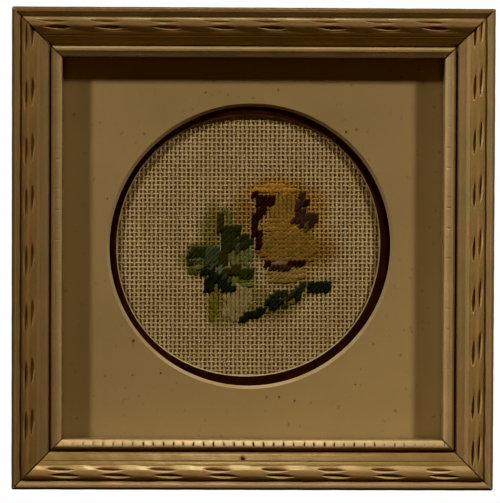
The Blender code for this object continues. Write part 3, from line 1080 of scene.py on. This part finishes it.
# %% Canvas
canvas_inputs = (
    Input("Threads", WHOLE, THREADS),
    Input("Pitch", FLOAT, PITCH),
    Input("Upright Width", FLOAT, 1.06 * MM),
    Input("Across Width", FLOAT, 1.00 * MM),
    Input("Thickness", FLOAT, 0.36 * MM),
    Input("Crimp", FLOAT, 0.12 * MM),
    Input("Lift", FLOAT, 0.08 * MM),
    Input("Unevenness", FLOAT, 0.05 * MM),
    Input("Middle", VECTOR, tuple(CANVAS_MIDDLE)),
    Input("Material", MATERIAL, canvas_cotton),
)
canvas_tree = make_canvas_tree(canvas_inputs)
canvas_mesh = run_tree("canvas_mesh", canvas_tree, canvas_inputs, bpy.data.meshes.new("empty"))
print(canvas_mesh.name, len(canvas_mesh.data.polygons), "faces")

# %% [markdown]
# The wools are few and muted: golds for the bloom, greens from pale moss to nearly black for the leaves,
# and a red brown for the folds between petals. Each has a name, so that the chart reads like the key
# of a stitcher's pattern. The colours were chosen by eye, and then corrected where a render of the spray
# came out lighter, darker or yellower than the photograph.

# %% Wools
WOOLS = {
    "amber": (0.385, 0.258, 0.085),
    "gold": (0.300, 0.212, 0.074),
    "dull_gold": (0.255, 0.184, 0.064),
    "old_gold": (0.285, 0.205, 0.069),
    "brown_gold": (0.285, 0.205, 0.078),
    "tan": (0.40, 0.305, 0.145),
    "pale_gold": (0.30, 0.240, 0.108),
    "ivory": (0.325, 0.290, 0.158),
    "cloth": (0.44, 0.370, 0.235),
    "rose_tan": (0.28, 0.21, 0.16),
    "moss": (0.21, 0.205, 0.052),
    "pale_moss": (0.27, 0.245, 0.110),
    "pale_green": (0.19, 0.205, 0.105),
    "leaf_green": (0.135, 0.158, 0.040),
    "mid_green": (0.185, 0.205, 0.078),
    "olive": (0.078, 0.080, 0.027),
    "deep_green": (0.064, 0.075, 0.038),
    "grey_green": (0.098, 0.120, 0.073),
    "pale_grey": (0.17, 0.205, 0.145),
    "night_green": (0.042, 0.050, 0.034),
    "fold": (0.062, 0.032, 0.023),
    "fold_grey": (0.096, 0.063, 0.050),
}
print(len(WOOLS), "wools")

# %% [markdown]
# The stitched spray is an ordinary yellow rose with its leaves and a bud on a stem. It is charted the
# way a stitcher would: each petal, fold and leaf is an oval, a leaf or a bar, counted in canvas threads
# from the middle, and later rows of the table are worked over earlier ones. Dark wool is worked in
# slanted tent stitches that cover the canvas. Golds and pale greens are broad flat stitches, laid
# across or up the threads, that leave some of the printed canvas showing at their edges. Some places
# are only printed. An oval is given by its middle and its two radii, and a leaf or a bar by its two
# ends and its width.

# %% Shapes of the chart
Patch = namedtuple("Patch", "kind wool lay x y x2 y2 width")


def oval(wool, lay, x, y, half_wide, half_high):
    return Patch("oval", wool, lay, x, y, half_wide, half_high, 0)


def bar(wool, lay, x, y, x2, y2, width):
    return Patch("bar", wool, lay, x, y, x2, y2, width)


def leaf(wool, lay, x, y, x2, y2, width):
    return Patch("leaf", wool, lay, x, y, x2, y2, width)


print("an oval, a bar and a leaf are enough for the chart")

# %% [markdown]
# The bloom is printed in soft tan and cream, then laid in gold from the lowest petal up to the amber
# rim. Dark folds part the petals: a long one on the left, a broken one on the right and a short one
# under the cup.

# %% Bloom
BLOOM = (
    oval("cloth", "print", -4.5, 10.5, 5.5, 6.0),
    oval("cloth", "print", 4.0, 17.0, 5.5, 2.6),
    oval("tan", "print", 11.5, 0.8, 7.0, 7.2),
    oval("brown_gold", "print", 15.6, -1.6, 3.4, 2.4),
    oval("pale_gold", "across", 7.4, -6.6, 5.0, 2.8),
    oval("dull_gold", "across", 7.6, -0.6, 7.4, 5.0),
    oval("gold", "across", 7.4, 5.0, 6.6, 2.9),
    oval("old_gold", "print", 10.0, 12.4, 4.0, 2.2),
    oval("old_gold", "up", 6.2, 9.6, 4.4, 3.8),
    oval("amber", "print", 13.6, 9.4, 3.4, 3.8),
    oval("gold", "print", -2.4, 6.8, 3.4, 5.0),
    oval("amber", "print", 4.8, 13.3, 5.2, 2.4),
    oval("amber", "across", 4.6, 13.3, 4.9, 1.9),
    bar("pale_gold", "up", 1.2, 6.2, 1.2, 3.8, 0.9),
    bar("fold", "tent", 0.1, 12.2, 0.7, 11.2, 1.2),
    bar("fold", "tent", 1.3, 10.4, 3.2, 10.3, 1.9),
    bar("fold", "tent", 3.9, 11.4, 4.2, 11.0, 1.1),
    bar("fold", "tent", 1.9, 9.2, 1.5, 8.1, 1.5),
    bar("fold", "tent", 0.8, 7.2, 0.2, 6.4, 1.3),
    bar("fold", "tent", 0.0, 6.0, 0.1, 3.4, 1.1),
    bar("fold", "tent", 1.1, 2.6, 1.1, 0.2, 1.5),
    bar("pale_gold", "across", 2.2, 11.4, 3.0, 11.4, 0.8),
    bar("fold_grey", "tent", 10.7, 11.6, 11.2, 10.4, 1.5),
    bar("fold", "tent", 12.0, 10.3, 12.1, 10.2, 0.9),
    bar("fold_grey", "tent", 9.6, 10.0, 9.6, 8.9, 1.1),
    bar("fold_grey", "tent", 10.5, 8.2, 11.2, 7.6, 1.3),
    oval("fold_grey", "tent", 12.0, 6.3, 2.3, 1.6),
    bar("fold_grey", "tent", 9.3, 6.0, 10.6, 6.4, 1.0),
    bar("leaf_green", "tent", 12.0, 4.6, 12.1, 3.9, 1.1),
    bar("fold", "tent", 3.1, -3.6, 3.2, -4.0, 1.0),
    bar("fold_grey", "tent", 4.2, -4.9, 8.4, -4.9, 1.1),
    bar("fold", "tent", 8.4, -4.0, 10.6, -3.7, 1.1),
    bar("rose_tan", "across", 4.2, -3.9, 7.0, -3.9, 0.9),
)
print(len(BLOOM), "patches in the bloom")

# %% [markdown]
# The leaves lie to the left of the bloom, dark along their veins and pale between them. The large pale
# leaf below hangs down beside the stem.

# %% Leaves
LEAVES = (
    oval("ivory", "up", -4.0, -13.0, 3.9, 5.2),
    oval("pale_moss", "print", -6.2, -13.0, 4.2, 5.2),
    oval("pale_moss", "print", 0.9, -12.8, 4.2, 3.8),
    oval("moss", "up", -9.3, -14.0, 1.5, 4.6),
    leaf("moss", "print", -10.4, -0.8, -9.6, 9.6, 5.2),
    leaf("moss", "print", -16.6, -3.0, -7.6, -3.2, 8.0),
    bar("pale_green", "up", -8.7, 3.2, -8.5, -0.4, 1.1),
    bar("pale_moss", "up", -9.2, 8.4, -9.2, 4.4, 0.9),
    bar("mid_green", "up", -6.6, 8.2, -6.0, 5.0, 1.5),
    oval("pale_green", "up", -3.6, -2.3, 3.6, 2.2),
    oval("mid_green", "across", -3.4, -8.5, 3.2, 1.7),
    bar("olive", "tent", -8.0, 7.2, -8.0, 4.4, 1.2),
    bar("deep_green", "tent", -6.6, 3.8, -6.4, -0.6, 1.9),
    bar("deep_green", "tent", -4.8, 3.6, -5.3, 0.2, 1.9),
    bar("olive", "tent", -7.0, -1.2, -7.5, -3.6, 1.7),
    bar("grey_green", "tent", -4.2, 0.4, -4.4, -1.0, 1.1),
    oval("deep_green", "tent", -2.5, 1.1, 1.6, 1.5),
    bar("olive", "across", -15.0, -0.3, -9.2, -0.2, 0.8),
    bar("deep_green", "tent", -14.5, -1.8, -10.6, -1.3, 1.8),
    bar("leaf_green", "across", -14.8, -1.0, -13.2, -1.0, 0.7),
    bar("pale_grey", "across", -14.8, -3.0, -12.2, -3.0, 0.9),
    bar("olive", "across", -15.0, -4.0, -12.6, -4.0, 0.9),
    bar("pale_green", "across", -15.0, -5.0, -13.0, -5.0, 0.8),
    bar("leaf_green", "up", -14.6, -6.0, -13.2, -6.2, 1.4),
    oval("grey_green", "tent", -10.0, -2.7, 1.9, 2.5),
    bar("night_green", "tent", -12.0, -5.9, -10.3, -6.1, 1.5),
    bar("pale_grey", "tent", -8.4, -4.4, -8.3, -6.2, 1.1),
    bar("olive", "tent", -6.8, -5.9, -3.6, -5.8, 1.7),
    bar("olive", "tent", -3.4, -6.5, -1.0, -6.5, 1.4),
    bar("pale_green", "across", -2.6, -5.2, -0.2, -5.2, 0.8),
    bar("pale_green", "up", 0.0, -5.4, 0.0, -7.0, 0.8),
    bar("pale_green", "across", -4.8, -7.6, -1.0, -7.6, 0.8),
    bar("grey_green", "tent", -7.4, -6.9, -6.2, -8.0, 1.5),
    bar("night_green", "tent", -9.8, -7.5, -8.0, -7.6, 2.1),
    bar("night_green", "tent", -10.4, -8.4, -10.6, -9.8, 1.5),
    bar("night_green", "tent", -7.6, -8.4, -5.6, -9.9, 2.1),
    bar("pale_grey", "up", -9.1, -9.2, -8.6, -9.8, 1.1),
)
print(len(LEAVES), "patches in the leaves")

# %% [markdown]
# A dark stem climbs to the right with a bud at its end, and a few light stitches sit along it.

# %% Stem and bud
STEM = (
    leaf("pale_moss", "print", 1.0, -17.0, 12.0, -10.6, 4.4),
    oval("pale_gold", "print", 5.2, -15.2, 2.4, 1.4),
    bar("night_green", "tent", -2.7, -17.3, -2.5, -17.3, 1.5),
    bar("night_green", "tent", -1.7, -16.5, 0.0, -16.0, 1.3),
    bar("night_green", "tent", 0.4, -15.6, 1.4, -15.2, 1.4),
    oval("night_green", "tent", 4.5, -12.9, 1.6, 1.5),
    bar("deep_green", "tent", 5.4, -11.3, 7.4, -11.3, 1.1),
    bar("fold_grey", "tent", 7.6, -12.2, 7.9, -12.2, 1.1),
    bar("pale_green", "across", 6.4, -12.2, 6.6, -12.8, 1.0),
    bar("deep_green", "tent", 8.6, -10.7, 10.2, -10.3, 1.1),
    bar("night_green", "tent", 9.7, -11.0, 9.6, -11.8, 1.0),
    bar("deep_green", "tent", 10.6, -9.8, 11.4, -9.3, 1.1),
    bar("night_green", "tent", 12.4, -8.5, 12.6, -9.3, 1.0),
    bar("night_green", "tent", 13.7, -9.7, 16.5, -9.7, 1.7),
    bar("night_green", "tent", 16.6, -8.6, 16.6, -9.0, 1.0),
    bar("mid_green", "across", 13.6, -8.4, 15.4, -8.4, 0.9),
    bar("pale_green", "across", 17.2, -8.0, 18.4, -8.0, 0.8),
    bar("pale_green", "up", 12.4, -10.6, 12.4, -11.0, 0.8),
    bar("moss", "across", 8.6, -13.4, 9.4, -13.0, 0.9),
    bar("olive", "across", 6.4, -14.2, 7.4, -13.9, 0.9),
    bar("mid_green", "across", 3.2, -15.1, 5.4, -15.0, 0.9),
    bar("moss", "across", 8.4, -11.8, 8.6, -11.8, 0.9),
)
CHART = BLOOM + LEAVES + STEM
print(len(CHART), "patches in the chart")

# %% [markdown]
# One function tells how far a place lies outside a patch. It is used twice: to find which patch a
# stitch belongs to, and to lay the soft print on the threads, which fades out round each patch. The
# print could be an image, but a colour stored on each point of the threads follows the chart by
# itself and stays crisp.

# %% Print on the canvas
EDGE_FADE = {"tent": 0.8, "across": 1.6, "up": 2.2, "print": 3.0}
PRINT_STRENGTH = {"tent": 0.95, "across": 0.85, "up": 0.70, "print": 0.85}
LEAF_TIP = 0.06


def outside(patch, x, y):
    """Distance in stitches from a place to the edge of a patch, below zero inside it."""
    if patch.kind == "oval":
        radii_out = np.hypot((x - patch.x) / patch.x2, (y - patch.y) / patch.y2)
        return (radii_out - 1) * min(patch.x2, patch.y2)
    run_x, run_y = patch.x2 - patch.x, patch.y2 - patch.y
    share = ((x - patch.x) * run_x + (y - patch.y) * run_y) / max(run_x ** 2 + run_y ** 2, 1e-6)
    share = np.clip(share, 0, 1)
    half = patch.width / 2
    if patch.kind == "leaf":
        half = half * np.sin(np.pi * (LEAF_TIP + (1 - 2 * LEAF_TIP) * share))
    return np.hypot(x - patch.x - share * run_x, y - patch.y - share * run_y) - half


def stitch_places(points):
    """Places on the canvas counted in stitches from its middle, to the right and up."""
    x = (points[:, 0] - CANVAS_MIDDLE.x) / PITCH - 0.5
    y = (points[:, 2] - CANVAS_MIDDLE.z) / PITCH - 0.5
    return x, y


def print_colours(x, y):
    """Colour and alpha of the print at each place."""
    colours = np.zeros((len(x), 4))
    for patch in CHART:
        soft = EDGE_FADE[patch.lay]
        cover = np.clip(0.5 - outside(patch, x, y) / soft, 0, 1) * PRINT_STRENGTH[patch.lay]
        left = colours[:, 3] * (1 - cover)
        total = np.maximum(left + cover, 1e-6)
        ink = np.array(WOOLS[patch.wool])
        colours[:, :3] = (colours[:, :3] * left[:, None] + ink * cover[:, None]) / total[:, None]
        colours[:, 3] = left + cover
    return colours


def store_colours(mesh, name, colours):
    """Keeps one colour with its alpha for each point of the mesh."""
    attribute = mesh.attributes.new(name, "FLOAT_COLOR", "POINT")
    attribute.data.foreach_set("color", colours.astype(np.float32).ravel())


canvas_points = np.zeros(len(canvas_mesh.data.vertices) * 3)
canvas_mesh.data.vertices.foreach_get("co", canvas_points)
across_count, up_count = stitch_places(canvas_points.reshape(-1, 3))
store_colours(canvas_mesh.data, "print", print_colours(across_count, up_count))
print("print laid on", len(across_count), "points of the threads")

# %% [markdown]
# A stitch is a short arch of two-ply wool. The tree bends one straight line into an arch, sweeps a
# flattened section along it, and turns the section as it goes, which looks like two plies twisted
# together. It then sets a copy on every point of the chart. Each point carries the stitch's colour,
# its direction, its length and its thickness, so one small tree makes every kind of stitch.

# %% Stitch tree
TWIST = math.radians(170)
ARCH_STEEPNESS = 2.5
SLIM_ENDS = 0.35
PRESSED_FLAT = 0.66


def read_value(tree, name):
    """A number that each point of the chart carries."""
    return geo(tree, "GeometryNodeInputNamedAttribute", {"Name": name}, data_type="FLOAT")


def make_stitch_tree(inputs):
    tree = new_tree("wool_stitches", inputs)
    ask = tree.nodes.new("NodeGroupInput").outputs
    strand = geo(tree, "GeometryNodeCurvePrimitiveLine", {"Start": (-0.5, 0, 0), "End": (0.5, 0, 0)})
    strand = geo(tree, "GeometryNodeResampleCurve", {"Curve": strand, "Count": ask["Steps"]})
    x = parts_of(tree, geo(tree, "GeometryNodeInputPosition"))[0]
    out = maths(tree, "POWER", maths(tree, "ABSOLUTE", maths(tree, "MULTIPLY", x, 2.0)), ARCH_STEEPNESS)
    height = maths(tree, "MULTIPLY_ADD", out, maths(tree, "MULTIPLY", ask["Arch"], -1.0), ask["Crown"])
    strand = geo(tree, "GeometryNodeSetPosition", {"Geometry": strand, "Offset": combine(tree, z=height)})
    twist = maths(tree, "MULTIPLY", x, TWIST)
    strand = geo(tree, "GeometryNodeSetCurveTilt", {"Curve": strand, "Tilt": twist})
    slim = maths(tree, "MULTIPLY_ADD", out, -SLIM_ENDS, 1.0)
    strand = geo(tree, "GeometryNodeSetCurveRadius", {"Curve": strand, "Radius": slim})
    section = geo(tree, "GeometryNodeCurvePrimitiveCircle", {"Resolution": 8, "Radius": 0.5})
    section = geo(tree, "GeometryNodeTransform", {"Geometry": section, "Scale": (1.0, PRESSED_FLAT, 1.0)})
    inputs_of_sweep = {"Curve": strand, "Profile Curve": section, "Fill Caps": True}
    one = geo(tree, "GeometryNodeCurveToMesh", inputs_of_sweep)
    sizes = combine(tree, read_value(tree, "reach"), read_value(tree, "girth"), read_value(tree, "rise"))
    many = geo(tree, "GeometryNodeInstanceOnPoints", {
        "Points": ask["Geometry"],
        "Instance": one,
        "Rotation": combine(tree, z=read_value(tree, "turn")),
        "Scale": sizes,
    })
    return finish_tree(tree, many, ask)


print("the stitch tree turns one strand by", round(math.degrees(TWIST)), "degrees")

# %% [markdown]
# Wool is matte with a faint halo of fibres, so its material is rough, hardly shines, and has a little
# sheen. The colour comes from each stitch, broken up by fine noise that stands for the fibres.

# %% Wool
def make_wool():
    material, tree, shader, place = start_material("stitching_wool", roughness=0.9, specular=0.12)
    shader.inputs["Sheen Weight"].default_value = 0.04
    fibres = noise(tree, place, 2800, 3, 0.6)
    coloured = scaled(tree, stored(tree, "dye", "Color"), stretch(tree, fibres, 0.3, 0.7, 0.80, 1.17))
    fill(tree, shader.inputs["Base Color"], coloured)
    add_bump(tree, shader, fibres, 0.00012, 0.8)
    return material


stitching_wool = make_wool()
print(stitching_wool.name, "takes its colour from each stitch")

# %% [markdown]
# A stitcher works from cell to cell, and so does this loop. It finds which patch owns each cell, then
# sets one stitch there with its own small error in place, direction, girth and dye, because hand work
# is never even. A lay says how each kind of stitch lies: its direction in degrees, its length and girth
# counted in threads, how high it rises for its girth, and how raggedly a patch of it ends.

# %% Stitches
Lay = namedtuple("Lay", "turn reach girth rise ragged")
LAYS = {
    "tent": Lay(45, 1.46, 1.18, 0.54, 0.0),
    "across": Lay(0, 1.20, 1.50, 0.25, 2.4),
    "up": Lay(90, 1.16, 1.16, 0.34, 2.4),
}
CHART_REACH = 24
PLACE_ERROR = 0.06
TURN_ERROR = 5
GIRTH_ERROR = 0.10
DYE_ERROR = 0.08
TINT_ERROR = 0.04


def about(random, middle, error, count=None):
    """A random number, or as many as asked for, that misses the middle value by the error at most."""
    return random.uniform(middle - error, middle + error, count)


def work_stitches():
    """Goes over the canvas cell by cell and lists the stitches that the chart asks for."""
    random = np.random.default_rng(3)
    count = np.arange(-CHART_REACH, CHART_REACH)
    x, y = (grid.ravel().astype(float) for grid in np.meshgrid(count, count))
    owner = np.full(len(x), -1)
    for number, patch in enumerate(CHART):
        if patch.lay == "print":
            continue
        ragged = LAYS[patch.lay].ragged * random.uniform(0, 1, len(x))
        owner[outside(patch, x, y) < -ragged * 0.5] = number
    rows = []
    for across, up, number in zip(x, y, owner):
        if number < 0:
            continue
        patch = CHART[number]
        lay = LAYS[patch.lay]
        place = np.array((across + 0.5, up + 0.5)) + about(random, 0, PLACE_ERROR, 2)
        dye = np.array(WOOLS[patch.wool]) * about(random, 1, DYE_ERROR) * about(random, 1, TINT_ERROR, 3)
        turn = math.radians(about(random, lay.turn, TURN_ERROR))
        girth = lay.girth * PITCH * about(random, 1, GIRTH_ERROR)
        rows.append((*place * PITCH, *dye, turn, lay.reach * PITCH, girth, girth * lay.rise))
    return np.array(rows)


def stitch_points(rows):
    """A mesh of loose points, one for each stitch, with the stitch's own values on it."""
    mesh = bpy.data.meshes.new("stitch_points")
    mesh.from_pydata([(row[0], row[1], 0) for row in rows.tolist()], [], [])
    store_colours(mesh, "dye", np.column_stack((rows[:, 2:5], np.ones(len(rows)))))
    for name, column in (("turn", 5), ("reach", 6), ("girth", 7), ("rise", 8)):
        store_values(mesh, name, rows[:, column])
    return mesh


stitches = work_stitches()
stitch_inputs = (
    Input("Steps", WHOLE, 7),
    Input("Arch", FLOAT, 0.42),
    Input("Crown", FLOAT, 0.36),
    Input("Middle", VECTOR, tuple(CANVAS_MIDDLE)),
    Input("Material", MATERIAL, stitching_wool),
)
stitch_tree = make_stitch_tree(stitch_inputs)
yarn_stitches = run_tree("yarn_stitches", stitch_tree, stitch_inputs, stitch_points(stitches))
print(len(stitches), "stitches,", len(yarn_stitches.data.polygons), "faces")

# %% [markdown]
# The pieces now take the places of the plain solids. Nothing moves in a framed picture, so all of them
# ride on the one body. The stitches have no solid of their own, so they replace nothing.

# %% Ride and replace
PIECES = (
    (canvas_mesh, "canvas_cloth", "canvas"),
    (yarn_stitches, "canvas_cloth", None),
    (window_mat, "tan_board", "mat_outer"),
    (dark_mat, "dark_board", "mat_inner"),
    *((piece, "gilt_wood", node) for node, piece in rails.items()),
)
for piece, slot, node in PIECES:
    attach(piece, "root")
    if node is not None:
        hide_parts(node)
print(len(PIECES), "pieces ride on the frame")

# %% [markdown]
# The picture hangs on a wall that isn't built, so the stage is only a pale round floor well below it.
# The floor glows a little by itself, so that it is pale in every view, and its light is kept off the
# picture. The world is white where the camera sees it, and otherwise a dim warm fill, brighter above
# than below.

# %% Stage
FLOOR_DROP = 1.1
FLOOR_RADIUS = 5.5
FLOOR_STEPS = 96
FLOOR_PALE, FLOOR_CLOUD = (0.78, 0.77, 0.75), (0.72, 0.71, 0.69)
FLOOR_GLOW, GLOW_STRENGTH = (0.80, 0.79, 0.77, 1), 0.8
WORLD_HIGH = (0.085, 0.060, 0.034)
WORLD_LOW = (0.030, 0.020, 0.010)


def make_floor():
    mesh = bpy.data.meshes.new("floor")
    angles = np.linspace(0, 2 * np.pi, FLOOR_STEPS, endpoint=False)
    low = [(FLOOR_RADIUS * math.cos(a), FLOOR_RADIUS * math.sin(a), -FLOOR_DROP) for a in angles]
    mesh.from_pydata(low, [], [list(range(len(low)))])
    material, tree, shader, place = start_material("pale_floor", roughness=0.9)
    shader.inputs["Emission Color"].default_value = FLOOR_GLOW
    shader.inputs["Emission Strength"].default_value = GLOW_STRENGTH
    fill(tree, shader.inputs["Base Color"], mix_colour(tree, noise(tree, place, 3), FLOOR_PALE, FLOOR_CLOUD))
    mesh.materials.append(material)
    floor = bpy.data.objects.new("floor", mesh)
    bpy.context.scene.collection.objects.link(floor)
    floor.visible_diffuse = False
    floor.visible_glossy = False
    return floor


make_floor()

world = bpy.data.worlds.new("studio")
bpy.context.scene.world = world
world.use_nodes = True
sky = world.node_tree
seen = add_node(sky, "ShaderNodeLightPath").outputs["Is Camera Ray"]
rise = parts_of(sky, add_node(sky, "ShaderNodeTexCoord").outputs["Generated"])[2]
room = mix_colour(sky, stretch(sky, rise, -0.3, 0.3), WORLD_LOW, WORLD_HIGH)
fill(sky, sky.nodes["Background"].inputs["Color"], mix_colour(sky, seen, room, (1, 1, 1)))
print("floor and world are set")
